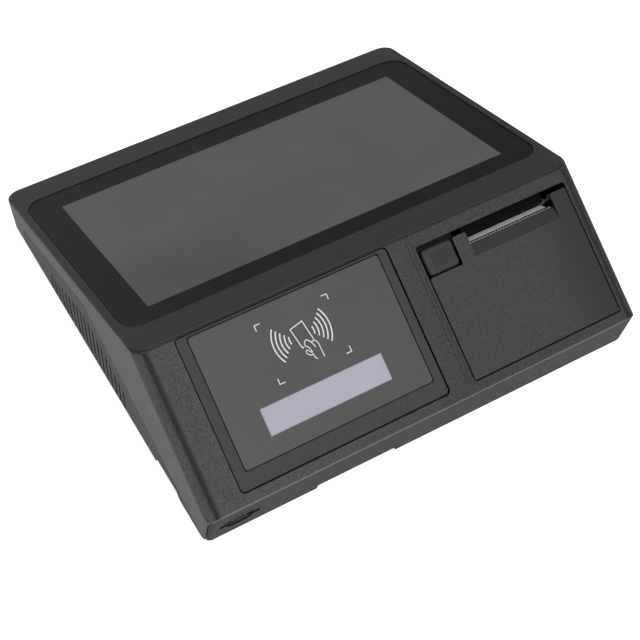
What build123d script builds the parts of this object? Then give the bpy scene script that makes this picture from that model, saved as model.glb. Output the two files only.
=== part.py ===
from build123d import *
import os
from math import atan2, cos, degrees, pi, radians, sin, tan

os.makedirs("parts", exist_ok=True)

# ---------------------------------------------------------------- driving dimensions (mm)
# Body.  The ridge is the crease where the sloping display head meets the sloping deck.
body_width = 309.0
ridge_height = 91.0          # crease above the bottom rim
foot_height = 1.5            # rubber foot below the bottom rim
head_length = 225.0          # along the head, crease to back edge
head_slope = 18.9            # falls towards the back
deck_length = 106.1          # along the deck, crease to front edge
deck_slope = 33.2            # falls towards the front
front_undercut = 6.1         # bottom of the front face behind its top edge
wall = 2.5
head_skin = 5.0              # moulding thickness round the cover glass
head_corner = 10.0
head_edge = 0.8
head_step = 1.0              # the head stands this proud of the deck at the crease
shoulder_radius = 8.0        # long rounding between deck and side wall
front_corner = 5.5
front_edge = 1.0
seam_gap = 0.35              # between the two housing halves
seam_drop = 15.0             # side seam below the head surface, measured upright
seam_back_y = 182.0          # seam turns down to the rim here, measured behind the ridge
seam_apex_y = 77.0
seam_front_y = -75.0
seam_front_rise = 2.0
seam_corner = 5.0
lip_height = 4.0             # upper housing rim above the front panel
lip_side = 1.2
lip_corner = 7.0
lip_gap = 0.55
floor_recess = 4.0           # floor above the bottom rim
floor_thickness = 2.5
# Side vents, counted from the back
vent_count = 19
vent_pitch = 6.056
vent_width = 2.0
vent_back_y = 134.3
vent_bottom = 2.7            # above the rim
vent_margin = 13.5           # slot tops below the seam
# Cable cut-outs in the rim
cable_notch_height = 4.3
front_notch = (-78.0, -22.0)
side_notch = (-45.0, -18.5)  # measured from the ridge
notch_slope = 6.0            # run of the sloping end
# Screw posts
boss_radius = 4.0
screw_radius = 1.5
screw_length = 10.0
post_inset = 7.5             # post centre inside the body's side
post_back_inset = 7.6        # the same from the back wall's lower edge
# Cover glass and main display
glass_margin = 6.0           # glass edge inside the body's side
glass_front = 23.1
glass_length = 179.0
glass_corner = 13.0
glass_thickness = 1.8
glass_gap = 0.5
glass_sink = 0.4
display_margin = 20.5        # lit area inside the glass's side
display_front_margin = 15.2
display_back_margin = 19.8
display_border = 7.0
display_thickness = 5.0
display_clearance = 0.3
bracket_thickness = 1.0
bracket_standoff = 6.0
bracket_flange = 8.0
# Boards behind the display
board_width = 130.0
board_length = 100.0
board_thickness = 1.6
chip_size = 20.0
chip_thickness = 1.5
fin_count = 9
fin_thickness = 1.0
fin_height = 6.5
sink_width = 50.0
sink_length = 40.0
sink_base = 2.5
# Customer panel on the deck
panel_margin = 25.0          # panel edge inside the body's side
panel_bay_web = 17.9         # deck between the panel and the printer bay
panel_top = 1.8
panel_front_margin = 6.9
panel_corner = 3.0
panel_gap = 0.25             # left and top
panel_open_gap = 0.7         # right and bottom
panel_thickness = 3.0
panel_ledge = 4.0
lens_margins = (7.8, 6.9)    # left, right
lens_top_margin = 2.5
lens_bottom_margin = 11.0
lens_thickness = 1.0
lens_gap = 0.7
lcd_margins = (22.5, 23.6)   # inside the lens, left and right
lcd_bottom_margin = 11.8
lcd_height = 17.2
lcd_border = 5.0
lcd_thickness = 4.0
antenna_width = 84.0
antenna_top_margin = 5.7     # inside the lens
antenna_lcd_gap = 2.2
# Printer bay and lid
lid_margin = 11.0            # lid edge inside the body's side
lid_width = 110.3
lid_front_margin = 6.8
lid_gap = 0.8
lid_thickness = 2.5
lid_corner = 2.0
bay_top = 9.8
arm_top = 13.4
left_arm_inset = 24.5
paper_slot_margin = 2.3      # slot between the arms, wider than the paper by this on each side
right_arm_extra = 2.0
tear_edge = 21.6             # lid edge that carries the tear bar
scoop_length = 8.4
scoop_depth = 2.6
hinge_depth = 1.4            # pin axis below the deck
hinge_inset = 1.4            # pin axis behind the lid's front edge
pin_radius = 0.7
pin_bite = 2.0               # pin into the bay's sides
running_clearance = 0.05
button_side_gap = 1.1
button_top = 13.0
button_bottom = 30.4
button_depth = 8.0
button_corner = 3.0
button_edge = 2.0            # soft rounding that clears the lid as the button is pressed
button_travel = 2.5
button_ribs = 10
rib_width = 0.8
tray_depth = 20.0
tray_wall = 2.5
tray_seat_gap = 0.15
paper_width = 57.5
gear_room = 12.0             # between the bucket and the lid's right edge
core_radius = 8.5
bore_radius = 6.2
bucket_top = 3.5             # top of the bucket's round below the deck
bucket_clearance = 3.2       # under the bucket, down to the floor
bucket_side = 1.75           # beside the roll
roll_slack = 2.5
roll_seat = 0.3
platen_w = 22.3
platen_depth = 12.0
platen_radius = 4.5
shaft_radius = 1.5
head_gap = 1.4               # print head to platen, with the paper between them
gear_module = 0.8
platen_teeth = 20
drive_teeth = 25
gear_width = 3.0
gear_inset = 6.5             # gear inside the lid's right edge
motor_radius = 7.2
motor_length = 18.0
motor_plate = 2.0
motor_clearance = 1.9        # to the bucket
# Front panel socket, and the ports in the bay under the floor
pocket_slot_size = (27.4, 4.0)
pocket_scoop_size = (17.3, 13.7)
pocket_slot_inset = 8.3      # from the body's side
pocket_scoop_inset = 13.2
port_inset = 22.0
port_rise = 15.5             # above the front face's lower edge
port_width = 8.94
port_height = 3.26
port_slack = 0.3
port_board_width = 24.0
io_bay_inset = 14.5
io_bay_width = 118.0
io_bay_front = 28.7          # behind the front face
io_bay_length = 41.0
io_bay_height = 20.0
io_board_length = 39.5
foot_radius = 9.0
foot_inset = 17.0
speaker_size = (40.0, 20.0)
speaker_inset = 10.5
speaker_front = 82.0         # behind the ridge
speaker_height = 9.0
cone_radius = 8.0

# ---------------------------------------------------------------- derived frame
half_width = body_width / 2
head_run = head_length * cos(radians(head_slope))
deck_run = deck_length * cos(radians(deck_slope))
half_depth = (head_run + deck_run) / 2
ridge_y = deck_run - half_depth
rim_z = foot_height
ridge_z = rim_z + ridge_height
front_top_y = -half_depth
front_top_z = ridge_z - deck_length * sin(radians(deck_slope))
front_bottom_y = front_top_y + front_undercut
front_lean = degrees(atan2(front_undercut, front_top_z - rim_z))
front_length = (front_top_z - rim_z) / cos(radians(front_lean))
back_undercut = (ridge_z - head_length * sin(radians(head_slope)) - rim_z) * tan(radians(head_slope))
floor_z = rim_z + floor_recess
floor_top_z = floor_z + floor_thickness
deep = 140.0                 # reach of a cutting prism past the whole body

HEAD_UP = Vector(0, sin(radians(head_slope)), cos(radians(head_slope)))
DECK_UP = Vector(0, -sin(radians(deck_slope)), cos(radians(deck_slope)))
FRONT_OUT = Vector(0, -cos(radians(front_lean)), -sin(radians(front_lean)))
DECK_BACK = Vector(0, cos(radians(deck_slope)), sin(radians(deck_slope)))
FRONT_RISE = Vector(0, -sin(radians(front_lean)), cos(radians(front_lean)))
RIDGE = (0, ridge_y, ridge_z)
FRONT_TOP = (0, front_top_y, front_top_z)
ACROSS = Vector(1, 0, 0)

HEAD = Plane(origin=RIDGE, x_dir=ACROSS, z_dir=HEAD_UP).location
DECK = Plane(origin=RIDGE, x_dir=ACROSS, z_dir=DECK_UP).location
FRONT = Plane(origin=FRONT_TOP, x_dir=ACROSS, z_dir=FRONT_OUT).location
DECK_SECTION = Plane(origin=RIDGE, x_dir=ACROSS, z_dir=-DECK_BACK).location
FRONT_SECTION = Plane(origin=FRONT_TOP, x_dir=ACROSS, z_dir=FRONT_RISE).location


def slab(place, x_span, y_span, top, bottom, radius=0.0):
    """Prism over a rectangle of a sloping face, from one depth below that face to another."""
    width = x_span[1] - x_span[0]
    length = y_span[1] - y_span[0]
    outline = RectangleRounded(width, length, radius) if radius else Rectangle(width, length)
    middle = Pos(sum(x_span) / 2, sum(y_span) / 2, -bottom)
    return place * middle * extrude(outline, bottom - top)


def head_slab(x_span, v_span, top, bottom, radius=0.0):
    """Prism on the display head; v runs back from the crease."""
    return slab(HEAD, x_span, v_span, top, bottom, radius)


def deck_slab(x_span, w_span, top, bottom, radius=0.0):
    """Prism on the deck; w runs forward from the crease."""
    return slab(DECK, x_span, (-w_span[1], -w_span[0]), top, bottom, radius)


def front_slab(x_span, s_span, top, bottom, radius=0.0):
    """Prism on the front face; s runs down from the front top edge."""
    return slab(FRONT, x_span, (-s_span[1], -s_span[0]), top, bottom, radius)


def deck_point(w, depth):
    """Own-frame (Y, Z) of a point on the deck at w, at a depth below its surface."""
    slope = radians(deck_slope)
    return (ridge_y - w * cos(slope) + depth * sin(slope), ridge_z - w * sin(slope) - depth * cos(slope))


def head_z(y):
    """Height of the head's surface at own-frame Y."""
    return ridge_z - (y - ridge_y) * tan(radians(head_slope))


def side_prism(outline, x_span):
    """A side outline, drawn as (Y, Z), carried across from one X to another."""
    face = make_face(outline)
    return Pos(x_span[0], 0, 0) * extrude(Plane.YZ.location * face, x_span[1] - x_span[0])


def side_polygon(points, x_span):
    """A straight-sided outline of (Y, Z) points, carried across in X."""
    return side_prism(Polyline(*points, close=True), x_span)


def deck_polygon(points, x_span):
    """A straight-sided outline of (w, depth) points on the deck, carried across in X."""
    return side_polygon([deck_point(w, depth) for w, depth in points], x_span)


def rod(y, z, radius, x_span):
    """Round bar along X."""
    length = x_span[1] - x_span[0]
    return Pos(sum(x_span) / 2, y, z) * Rot(0, 90, 0) * Cylinder(radius, length)


def deck_rod(w, depth, radius, x_span):
    """Round bar along X, placed by its deck position and depth."""
    return rod(*deck_point(w, depth), radius, x_span)


def box(x_span, y_span, z_span):
    """Upright box between stated faces."""
    size = (x_span[1] - x_span[0], y_span[1] - y_span[0], z_span[1] - z_span[0])
    return Pos(sum(x_span) / 2, sum(y_span) / 2, sum(z_span) / 2) * Box(*size)


def grown(span, by):
    """A span made longer by the same amount at both ends."""
    return (span[0] - by, span[1] + by)


def centred(middle, length):
    """A span of a length about its middle."""
    return (middle - length / 2, middle + length / 2)


def top_face(body, up):
    """The face of a body that lies furthest along a direction."""
    return body.faces().sort_by(Axis((0, 0, 0), up))[-1]


def gear(teeth, phase):
    """Spur gear in the local XY plane, its first tooth turned by phase degrees."""
    pitch_radius = gear_module * teeth / 2
    tip_radius = pitch_radius + 0.9 * gear_module
    root_radius = pitch_radius - 1.2 * gear_module
    step = 360 / teeth
    points = []
    for tooth in range(teeth):
        middle = phase + tooth * step
        for radius, share in ((root_radius, -0.36), (tip_radius, -0.12), (tip_radius, 0.12), (root_radius, 0.36)):
            angle = radians(middle + share * step)
            points.append((radius * cos(angle), radius * sin(angle)))
    return extrude(make_face(Polyline(*points, close=True)), gear_width)


# ---------------------------------------------------------------- places on the head and deck
full_width = (-half_width, half_width)
glass_half_width = half_width - glass_margin
glass_back = glass_front + glass_length
active_half_width = glass_half_width - display_margin
active_front = glass_front + display_front_margin
active_back = glass_back - display_back_margin
opening_half = active_half_width + display_border
glass_window = (active_front - display_border, active_back + display_border)

lid_right = half_width - lid_margin
lid_left = lid_right - lid_width
lid_bottom = deck_length - lid_front_margin
bay_span = (lid_left - lid_gap, lid_right + lid_gap)
bay_rows = (bay_top, lid_bottom + lid_gap)
hinge_w = lid_bottom - hinge_inset
paper_centre_x = lid_right - gear_room - tray_wall - bucket_side - paper_width / 2
paper_x = centred(paper_centre_x, paper_width)
left_arm = (lid_left + left_arm_inset, paper_x[0] - paper_slot_margin)
right_arm_left = paper_x[1] + paper_slot_margin + right_arm_extra
button_x = (lid_left + button_side_gap, left_arm[0] - button_side_gap)
button_rows = (button_top, button_bottom)
gear_x = lid_right - gear_inset

panel_span = (-half_width + panel_margin, bay_span[0] - panel_bay_web)
panel_rows = (panel_top, deck_length - panel_front_margin)
lens_span = (panel_span[0] + lens_margins[0], panel_span[1] - lens_margins[1])
lens_rows = (panel_rows[0] + lens_top_margin, panel_rows[1] - lens_bottom_margin)
lcd_span = (lens_span[0] + lcd_margins[0], lens_span[1] - lcd_margins[1])
lcd_rows = (lens_rows[1] - lcd_bottom_margin - lcd_height, lens_rows[1] - lcd_bottom_margin)


# ---------------------------------------------------------------- the housing's common shape
def side_outline(inset):
    """Side view of the front part: front face, deck, crease, and a shelf that carries the head's corners."""
    base_z = rim_z - 2 * inset
    front_y = front_bottom_y + (rim_z - base_z) * tan(radians(front_lean))
    spread = tan(radians(deck_slope)) + tan(radians(head_slope))
    crease = -head_step / cos(radians(head_slope)) / spread
    back = ridge_y + 2 * head_corner
    shelf_drop = head_step / cos(radians(head_slope))
    outline = make_face(
        Polyline(
            (front_y, base_z), (front_top_y, front_top_z), (ridge_y + crease, ridge_z + crease * tan(radians(deck_slope))),
            (back, head_z(back) - shelf_drop), (back, base_z), close=True
        )
    )
    if inset:
        return offset(outline, -inset, kind=Kind.INTERSECTION)
    return fillet(outline.vertices().sort_by(Axis.X)[0], front_edge)


def body_shape(inset, skin):
    """Closed body shape moved in by inset all round and by skin under the head."""
    width = half_width - inset
    head = head_slab((-width, width), (inset, head_length - inset), skin, deep, head_corner - inset)
    if inset == 0:
        head = chamfer(top_face(head, HEAD_UP).edges(), head_edge)
    front = extrude(Plane.YZ.location * side_outline(inset), half_width, both=True)
    shoulders = Pos(0, -inset - deep / 2) * RectangleRounded(2 * width, deep, shoulder_radius - inset)
    corners = Pos(0, inset + half_depth) * RectangleRounded(2 * width, 2 * half_depth, front_corner - inset)
    front = front & extrude(DECK_SECTION * shoulders, 2 * deck_length, both=True)
    front = front & extrude(FRONT_SECTION * corners, 2 * ridge_height, both=True)
    keep = box(full_width, (-2 * deep, 2 * deep), (rim_z - 2 * inset, ridge_z + wall))
    return (head + front) & keep


outer = body_shape(0, 0)
cavity = body_shape(wall, head_skin)
shell = outer - cavity


# ---------------------------------------------------------------- split line of the housings
seam_apex = ridge_y + seam_apex_y
seam_start = ridge_y + seam_front_y


def seam_outline(gap):
    """Side outline of the part below the seam, drawn in by a gap."""
    back_y = ridge_y + seam_back_y - gap
    lower = rim_z - head_corner
    points = [
        (back_y, lower), (back_y, head_z(back_y) - seam_drop - gap), (seam_apex, head_z(seam_apex) - seam_drop - gap),
        (seam_start + gap, rim_z + seam_front_rise - gap), (seam_start + gap, lower)
    ]
    outline = make_face(Polyline(*points, close=True))
    corners = outline.vertices().sort_by(Axis.Y)
    return fillet([corners[-1], corners[-2]], seam_corner)


def seam_height(y):
    """Height of the side seam at own-frame Y."""
    if y > seam_apex:
        return head_z(y) - seam_drop
    share = (y - seam_start) / (seam_apex - seam_start)
    start_z = rim_z + seam_front_rise
    return start_z + share * (head_z(seam_apex) - seam_drop - start_z)


def below_seam(gap):
    """Everything below the side seam."""
    return extrude(Plane.YZ.location * seam_outline(gap), half_width + wall, both=True)


def front_opening(gap):
    """The front panel's place inside the upper housing's rim."""
    side = half_width - lip_side - gap
    return front_slab((-side, side), (lip_height + gap, ridge_height), -wall, front_corner, lip_corner - gap)


def boss_places():
    """Plan positions of the screw posts."""
    side = half_width - post_inset
    back = half_depth - back_undercut - post_back_inset
    web = (panel_span[1] + bay_span[0]) / 2
    return [(-side, back), (side, back), (-side, ridge_y + 54.0), (web, ridge_y - boss_radius - screw_radius)]


def boss_posts():
    """Screw posts that come down from the upper housing to the floor."""
    posts = [Pos(x, y, floor_top_z + deep / 2) * Cylinder(boss_radius, deep) for x, y in boss_places()]
    return (Part() + posts) & cavity


def boss_holes():
    """Screw holes through the floor and up into the posts."""
    depth = screw_length + floor_thickness
    return Part() + [Pos(x, y, floor_z + depth / 2) * Cylinder(screw_radius, depth) for x, y in boss_places()]


# ---------------------------------------------------------------- upper housing
rib_rise = 0.8               # ribs beside the printer bay
rib_radius = 2.2
left_rib = bay_span[0] - 3.2
right_rib = bay_span[1] + 3.0


def bay_rib(x):
    """Half-round rib beside the printer bay."""
    rows = (head_step, bay_rows[1] - rib_rise)
    middle = DECK * Pos(x, -sum(rows) / 2, rib_rise - rib_radius)
    rib = middle * Rot(90, 0, 0) * Cylinder(rib_radius, rows[1] - rows[0])
    return rib & deck_slab(centred(x, 3 * rib_radius), rows, -rib_rise, wall / 2)


def upper_housing():
    """One moulding: display surround, deck, side walls and back."""
    body = shell - below_seam(0) - front_opening(0)
    pocket_x = (panel_span[0] - panel_gap, panel_span[1] + panel_open_gap)
    pocket_rows = (panel_rows[0] - panel_gap, panel_rows[1] + panel_open_gap)
    ledge = deck_slab(grown(pocket_x, panel_ledge), pocket_rows, wall, panel_thickness + wall)
    body = body + (ledge & cavity)
    glass_half = glass_half_width + glass_gap
    seat = head_slab(
        (-glass_half, glass_half), grown((glass_front, glass_back), glass_gap),
        -wall, glass_sink + glass_thickness, glass_corner + glass_gap
    )
    window = head_slab((-opening_half, opening_half), glass_window, 0, 2 * head_skin)
    body = body - seat - window
    body = body - deck_slab(pocket_x, pocket_rows, -1, panel_thickness, panel_corner + panel_gap)
    body = body - deck_slab(grown(panel_span, -panel_ledge), grown(panel_rows, -panel_ledge), 0, 3 * panel_thickness)
    body = body - deck_slab(bay_span, bay_rows, -1, 2 * wall, lid_corner)
    body = body + bay_rib(left_rib) + bay_rib(right_rib) + boss_posts() - boss_holes()
    return body - deck_rod(hinge_w, hinge_depth, pin_radius, grown(bay_span, pin_bite))


# ---------------------------------------------------------------- lower housing
left_side = -half_width
pocket_slot = (left_side + pocket_slot_inset, left_side + pocket_slot_inset + pocket_slot_size[0])
pocket_scoop = (left_side + pocket_scoop_inset, left_side + pocket_scoop_inset + pocket_scoop_size[0])
port_x = left_side + port_inset
port_s = front_length - port_rise
pocket_slot_rows = centred(port_s + 0.5, pocket_slot_size[1])
pocket_scoop_rows = centred(port_s - 0.8, pocket_scoop_size[1])
io_bay_x = (left_side + io_bay_inset, left_side + io_bay_inset + io_bay_width)
io_bay_y = (front_bottom_y + io_bay_front, front_bottom_y + io_bay_front + io_bay_length)


def vent_slots():
    """Upright slots through both side walls, their tops stepping with the seam."""
    slots = []
    for number in range(vent_count):
        y = ridge_y + vent_back_y - number * vent_pitch
        rows = (rim_z + vent_bottom, seam_height(y) - vent_margin)
        for walls in ((-half_width - wall, -half_width + wall), (half_width - wall, half_width + wall)):
            slots.append(box(walls, centred(y, vent_width), rows))
    return Part() + slots


def rim_notches():
    """Cable cut-outs in the front rim and in the left rim, where one end slopes."""
    top = rim_z + cable_notch_height
    front = box(front_notch, (front_bottom_y - wall, front_bottom_y + 3 * wall), (-1, top))
    y0 = ridge_y + side_notch[0]
    y1 = ridge_y + side_notch[1]
    points = [(y0 - notch_slope, rim_z - 1), (y0, top), (y1, top), (y1 + 0.2 * notch_slope, rim_z - 1)]
    return front + side_polygon(points, (-half_width - 1, -half_width + 2 * wall))


def lower_housing():
    """Floor pan with the vented side wings and the front panel."""
    wings = shell & below_seam(seam_gap)
    panel = shell & front_opening(lip_gap)
    floor = cavity & box(full_width, (-2 * deep, 2 * deep), (floor_z, floor_top_z))
    body = wings + panel + floor
    body = body - vent_slots() - rim_notches() - boss_holes()
    bay_z = (floor_z, floor_z + io_bay_height)
    skin = box(grown(io_bay_x, wall), grown(io_bay_y, wall), (floor_z, bay_z[1] + wall))
    body = body + skin - box(io_bay_x, io_bay_y, (floor_z - 1, bay_z[1]))
    for x_span, z_span in io_windows():
        body = body - box(x_span, (io_bay_y[1] - 1, io_bay_y[1] + 2 * wall), z_span)
    body = body - front_slab(pocket_slot, pocket_slot_rows, -wall, 1.2, 1.9)
    body = body - front_slab(pocket_scoop, pocket_scoop_rows, -wall, 0.7, 4.0)
    port = grown(centred(port_x, port_width), port_slack)
    rows = grown(centred(port_s, port_height), port_slack)
    return body - front_slab(port, rows, -wall, 2 * wall, 1.7)


# ---------------------------------------------------------------- input and output ports
io_floor = floor_top_z + 1.6
io_face_y = io_bay_y[1]
io_depth = 16.0
jack_span = (io_bay_x[0] + 6.0, io_bay_x[0] + 22.0)
jack_height = 13.0
usb_span = (io_bay_x[0] + 32.0, io_bay_x[0] + 46.0)
usb_height = 15.0
dc_span = (io_bay_x[0] + 56.0, io_bay_x[0] + 65.0)
dc_height = 11.0


def io_windows():
    """Holes in the bay's back wall, one round each connector, as X and Z spans."""
    sizes = ((jack_span, jack_height), (usb_span, usb_height), (dc_span, dc_height))
    return [(grown(span, port_slack), grown((io_floor, io_floor + height), port_slack)) for span, height in sizes]


def network_jack():
    """Square-mouthed network socket with the slot for the plug's latch."""
    body = box(jack_span, (io_face_y, io_face_y + io_depth), (io_floor, io_floor + jack_height))
    mouth = box(grown(jack_span, -2.1), (io_face_y, io_face_y + 13), (io_floor + 2.5, io_floor + 10.5))
    key = box(grown(jack_span, -5.0), (io_face_y, io_face_y + 13), (io_floor + 1.0, io_floor + 3.0))
    return body - mouth - key


def usb_ports():
    """Double-stacked USB sockets with their tongues."""
    body = box(usb_span, (io_face_y, io_face_y + io_depth), (io_floor, io_floor + usb_height))
    for low in (1.2, 8.8):
        floor = io_floor + low
        mouth = box(grown(usb_span, -0.7), (io_face_y, io_face_y + 12), (floor, floor + 5.0))
        tongue = box(grown(usb_span, -1.4), (io_face_y + 1, io_face_y + 12.1), (floor + 2.8, floor + 4.4))
        body = body - mouth + tongue
    return body


def dc_inlet():
    """Round power inlet with its centre pin."""
    body = box(dc_span, (io_face_y, io_face_y + 14), (io_floor, io_floor + dc_height))
    centre = Pos(sum(dc_span) / 2, io_face_y, io_floor + dc_height / 2)
    hole = centre * Pos(0, 5, 0) * Rot(90, 0, 0) * Cylinder(3.2, 10)
    pin = centre * Pos(0, 6, 0) * Rot(90, 0, 0) * Cylinder(1.0, 9)
    return body - hole + pin


def io_board():
    """Circuit board that carries the rear-bay connectors."""
    y_span = (io_face_y + wall, io_face_y + wall + io_board_length)
    return box((io_bay_x[0] + 2, dc_span[1] + 5), y_span, (floor_top_z, io_floor))


def port_board():
    """Small front board with its USB-C receptacle."""
    mouth_x = centred(port_x, port_width)
    rows = centred(port_s, port_height)
    shell_body = front_slab(mouth_x, rows, 0.9, 9.0, 1.5)
    mouth = front_slab(grown(mouth_x, -0.6), grown(rows, -0.5), 0.8, 8.0)
    tongue = front_slab(grown(mouth_x, -1.5), grown(rows, -1.25), 1.6, 8.1)
    board = front_slab(centred(port_x, port_board_width), (rows[1], rows[1] + 1.2), wall, 16.0)
    return shell_body - mouth + tongue + board


def rubber_feet():
    """Four round pads under the floor."""
    side = half_width - foot_inset
    back = -front_bottom_y - foot_inset
    places = [(-side, -back), (side, -back), (-side, back), (side, back)]
    return Compound([Pos(x, y, floor_z / 2) * Cylinder(foot_radius, floor_z) for x, y in places])


def housing_screws():
    """Cheese-head screws through the floor into the posts."""
    screws = []
    for x, y in boss_places():
        head = Pos(x, y, floor_z - screw_radius / 2) * Cylinder(2 * screw_radius, screw_radius)
        shank = Pos(x, y, floor_z + screw_length / 2) * Cylinder(screw_radius, screw_length)
        screws.append(head + shank)
    return Compound(screws)


# ---------------------------------------------------------------- main display
def cover_glass():
    """Black-bordered cover glass with rounded corners."""
    return head_slab(
        (-glass_half_width, glass_half_width), (glass_front, glass_back),
        glass_sink, glass_sink + glass_thickness, glass_corner
    )


display_top = glass_sink + glass_thickness
display_back = display_top + display_thickness
display_half = opening_half - display_clearance
display_span = (-display_half, display_half)
display_rows = grown(glass_window, -display_clearance)
display_middle = sum(display_rows) / 2


def display_module():
    """Flat display panel bonded behind the glass."""
    return head_slab(display_span, display_rows, display_top, display_back)


def display_bracket():
    """Sheet-metal tray behind the display, its back edge turned up, with windows for the boards."""
    rows = grown(display_rows, bracket_flange)
    plate = head_slab(grown(display_span, bracket_flange), rows, display_back, display_back + bracket_thickness, 3.0)
    window = display_half / 3
    for x in (-2 * window, 0, 2 * window):
        plate = plate - head_slab(centred(x, window), centred(display_middle, board_length - 20), 0, 2 * display_back)
    fold = head_slab(display_span, (rows[1] - bracket_thickness, rows[1]), display_back, display_back + bracket_standoff)
    return plate + fold


board_top = display_back + bracket_thickness + 0.2
board_back = board_top + board_thickness
chip_back = board_back + chip_thickness


def main_board():
    """Main circuit board on the bracket, with its processor."""
    board = head_slab(centred(-5.0, board_width), centred(display_middle, board_length), board_top, board_back)
    return board + head_slab(centred(-10.0, chip_size), centred(display_middle, chip_size), board_back, chip_back)


def heat_sink():
    """Finned sink on the processor."""
    rows = centred(display_middle, sink_length)
    x_span = centred(-10.0, sink_width)
    sink = head_slab(x_span, rows, chip_back, chip_back + sink_base)
    step = (sink_width - fin_thickness) / (fin_count - 1)
    for number in range(fin_count):
        x = x_span[0] + number * step
        sink = sink + head_slab((x, x + fin_thickness), rows, chip_back + sink_base, chip_back + sink_base + fin_height)
    return sink


def speaker():
    """Small box speaker with a round cone, on the floor behind the right-hand vents."""
    x_span = (half_width - speaker_inset - speaker_size[0], half_width - speaker_inset)
    y_span = (ridge_y + speaker_front, ridge_y + speaker_front + speaker_size[1])
    top = floor_top_z + speaker_height
    cone = Pos(sum(x_span) / 2, sum(y_span) / 2, top + 0.5) * Cylinder(cone_radius, 3.0)
    return box(x_span, y_span, (floor_top_z, top)) + cone


# ---------------------------------------------------------------- customer panel
def customer_panel_frame():
    """Moulded plate let into the deck, with a seat for the lens and a window for the display."""
    frame = deck_slab(panel_span, panel_rows, 0, panel_thickness, panel_corner)
    frame = chamfer(top_face(frame, DECK_UP).edges(), 0.6)
    seat = deck_slab(grown(lens_span, lens_gap), grown(lens_rows, lens_gap), -1, lens_thickness, 2)
    window = deck_slab(grown(lcd_span, 1), grown(lcd_rows, 1), 0, 2 * panel_thickness)
    return frame - seat - window


def customer_lens():
    """Thin clear lens, back-printed black except over the display."""
    return deck_slab(lens_span, lens_rows, 0, lens_thickness, 2)


def customer_lcd():
    """Segment display module: raised window area on a wider board."""
    window = deck_slab(lcd_span, lcd_rows, lens_thickness + 0.2, panel_thickness)
    board = deck_slab(
        grown(lcd_span, lcd_border), grown(lcd_rows, lcd_border), panel_thickness, panel_thickness + lcd_thickness
    )
    return window + board


def nfc_antenna_board():
    """Loop-antenna board behind the tap area."""
    middle = sum(lens_span) / 2
    rows = (lens_rows[0] + antenna_top_margin, lcd_rows[0] - lcd_border - antenna_lcd_gap)
    back = panel_thickness + 1.2
    board = deck_slab(centred(middle, antenna_width), rows, panel_thickness, back, 3)
    return board + deck_slab(centred(middle, 14.0), centred(sum(rows) / 2, 14.0), back, back + 1.4)


# ---------------------------------------------------------------- printer
tray_x = grown(bay_span, tray_wall)
tray_bottom = tray_depth + tray_wall
deck_rise = sin(radians(deck_slope))
deck_lean = cos(radians(deck_slope))
drive_distance = gear_module * (platen_teeth + drive_teeth) / 2
lift_angle = atan2(platen_depth - hinge_depth, hinge_w - platen_w)
drive_w = platen_w + drive_distance * sin(lift_angle)
drive_depth = platen_depth + drive_distance * cos(lift_angle)
drive_tip = gear_module * drive_teeth / 2 + gear_module
bucket_back = drive_w + motor_radius + motor_clearance + tray_wall
bucket_room = ridge_z - bucket_back * deck_rise - bucket_top * deck_lean - tray_wall - floor_top_z - bucket_clearance
bucket_radius = bucket_room / (1 + deck_lean + deck_rise)
bucket_w = bucket_back + bucket_radius
bucket_depth = bucket_top + bucket_radius
bucket_x = grown(paper_x, bucket_side)
stem_x = centred(sum(button_x) / 2, 7.0)
stem_rows = centred(sum(button_rows) / 2, 7.0)
mechanism_end = platen_w + gear_module * platen_teeth / 2 + 2 * gear_module
gear_faces = (gear_x, gear_x + gear_width)
plate_x = (gear_x - 1.0 - motor_plate, gear_x - 1.0)
cheeks = ((left_arm[1] - 4.5, left_arm[1] - 1.0), (right_arm_left + 0.2, right_arm_left + 2.2))


def printer_cradle():
    """Tray under the printer bay with the paper bucket, open below the print mechanism."""
    rows = grown(bay_rows, tray_wall)
    body = deck_slab(tray_x, rows, wall + tray_seat_gap, tray_bottom, lid_corner)
    bucket = deck_rod(bucket_w, bucket_depth, bucket_radius + tray_wall, grown(bucket_x, tray_wall))
    body = body + (bucket - deck_slab(tray_x, (0, deck_length), -deep, tray_depth))
    body = body - deck_slab(bay_span, bay_rows, 0, tray_depth)
    body = body - deck_rod(bucket_w, bucket_depth, bucket_radius, bucket_x)
    body = body - deck_slab((left_arm[1], bay_span[1]), (bay_rows[0], mechanism_end), tray_depth - 1, tray_bottom + 1)
    slot_rows = (bay_rows[0], drive_w + drive_tip + 1.0)
    body = body - deck_slab(grown(gear_faces, 1), slot_rows, tray_depth - 1, tray_bottom + 1)
    return body - deck_slab(grown(stem_x, 0.3), grown(stem_rows, 0.3), tray_depth - 1, tray_bottom + 1)


def motor_bracket():
    """Angle plate under the tray that carries the motor and the drive gear's shaft."""
    foot_rows = (drive_w + drive_tip + 1.5, drive_w + drive_tip + 10.5)
    plate_rows = (drive_w - motor_radius - 2.0, foot_rows[1])
    plate = deck_slab(plate_x, plate_rows, tray_bottom, drive_depth + motor_radius + 1.5)
    foot = deck_slab((plate_x[1], bay_span[1]), foot_rows, tray_bottom, tray_bottom + motor_plate)
    return plate + foot - deck_rod(drive_w, drive_depth, shaft_radius + 0.3, grown(plate_x, 1))


def feed_motor():
    """Small stepper motor that drives the platen."""
    face = plate_x[0]
    can = deck_rod(drive_w, drive_depth, motor_radius, (face - motor_length, face))
    return can + deck_slab((face - 1, face), centred(drive_w, 1.9 * motor_radius), drive_depth, drive_depth + 8.5)


def gear_at(w, depth, teeth, phase):
    """Gear on an axis along X at a deck position."""
    y, z = deck_point(w, depth)
    return Pos(gear_x, y, z) * Plane.YZ.location * gear(teeth, phase)


platen_y, platen_z = deck_point(platen_w, platen_depth)
drive_y, drive_z = deck_point(drive_w, drive_depth)
mesh_angle = degrees(atan2(drive_z - platen_z, drive_y - platen_y))


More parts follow.
